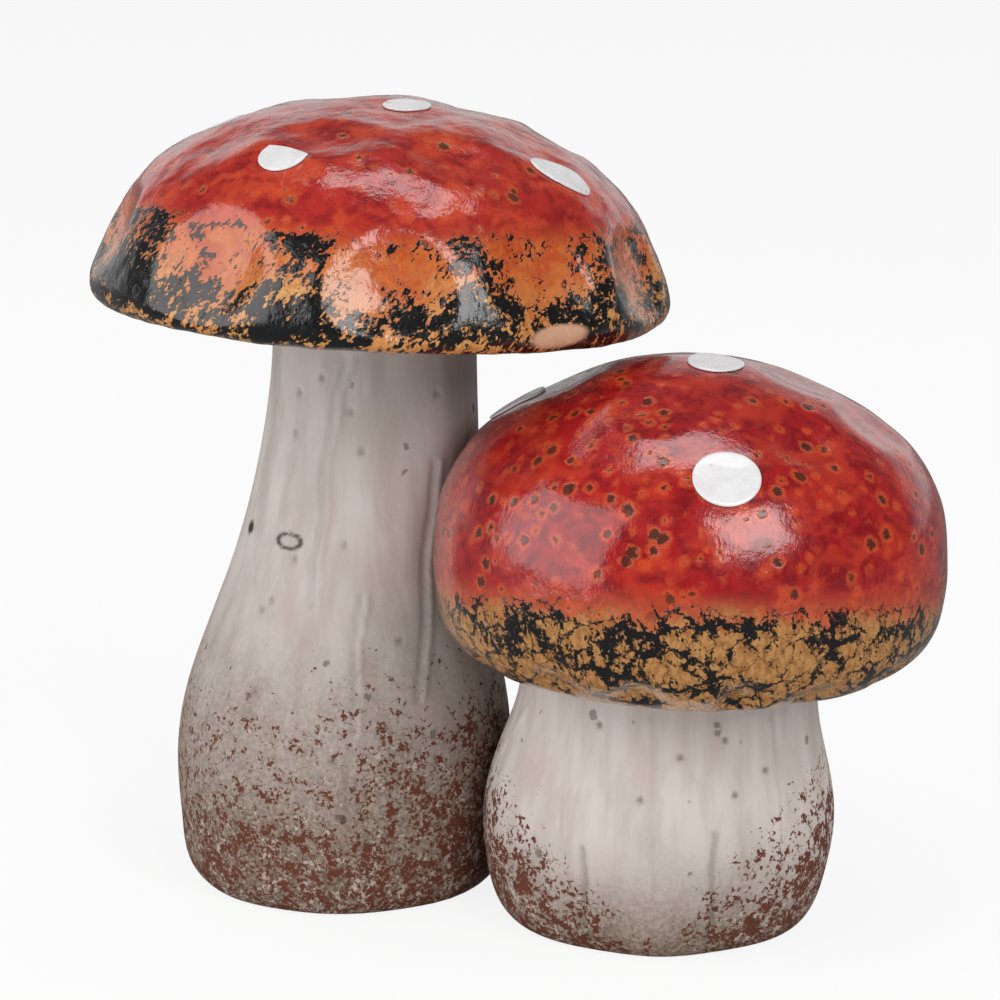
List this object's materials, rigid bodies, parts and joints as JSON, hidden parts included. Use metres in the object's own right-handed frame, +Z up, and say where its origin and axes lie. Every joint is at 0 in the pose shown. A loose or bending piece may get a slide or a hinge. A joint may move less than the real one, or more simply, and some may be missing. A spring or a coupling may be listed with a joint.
{
  "type": "ceramic mushroom ornament",
  "caption": "Ceramic ornament of a tall and a short mushroom pressed together: hollow whitewashed stems under domed red-glazed caps with raised white enamel dabs.",
  "frame": {"origin": "middle of the overall box's footprint, on the surface that the ornament stands on", "axes": "+X to the short mushroom's side as seen from the front, +Y away from the front, +Z up"},
  "size_m": [0.1974, 0.1633, 0.1842],
  "materials": {
    "stem_ceramic": "matt whitewash over terracotta, specked at the foot",
    "cap_glaze": "glossy red glaze, orange and black towards the rim",
    "slip_joint": "matt fired slip",
    "enamel": "glossy raised white enamel"
  },
  "bodies": {
    "root": {"tall_stem": "stem_ceramic", "tall_cap": "cap_glaze", "small_stem": "stem_ceramic", "small_cap": "cap_glaze", "stem_slip": "slip_joint", "cap_slip": "slip_joint", "tall_neck_slip": "slip_joint", "small_neck_slip": "slip_joint", "tall_cap_dab_front_left": "enamel", "tall_cap_dab_front_right": "enamel", "tall_cap_dab_crown": "enamel", "tall_cap_dab_right": "enamel", "tall_cap_dab_back": "enamel", "tall_cap_dab_left": "enamel", "small_cap_dab_front": "enamel", "small_cap_dab_crown": "enamel", "small_cap_dab_left": "enamel", "small_cap_dab_right": "enamel", "small_cap_dab_back": "enamel"}
  },
  "joints": []
}
